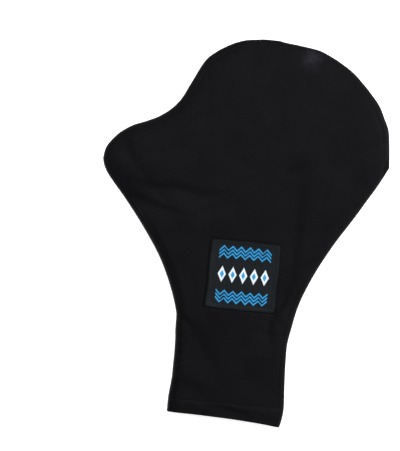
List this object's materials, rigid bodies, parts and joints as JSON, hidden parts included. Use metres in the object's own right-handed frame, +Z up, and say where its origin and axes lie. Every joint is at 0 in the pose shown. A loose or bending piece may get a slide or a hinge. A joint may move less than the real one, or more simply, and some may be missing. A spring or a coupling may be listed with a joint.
{
  "type": "webbed swim glove",
  "caption": "Flat webbed swim glove of black stretch cloth for the right hand, with a fan-shaped finger part, a thumb, a hemmed wrist mouth and a woven patch.",
  "frame": {"origin": "on the surface that carries the glove, on the wrist's centre line, halfway along the glove's length", "axes": "+X towards the little finger's side, +Y towards the fingertips, +Z up out of the back of the hand"},
  "size_m": [0.2006, 0.2694, 0.0107],
  "materials": {
    "cloth": "matte",
    "label_weave": "satin"
  },
  "bodies": {
    "root": {"back_panel": "cloth", "palm_panel": "cloth", "cuff_hem": "cloth", "label": "label_weave"}
  },
  "joints": []
}
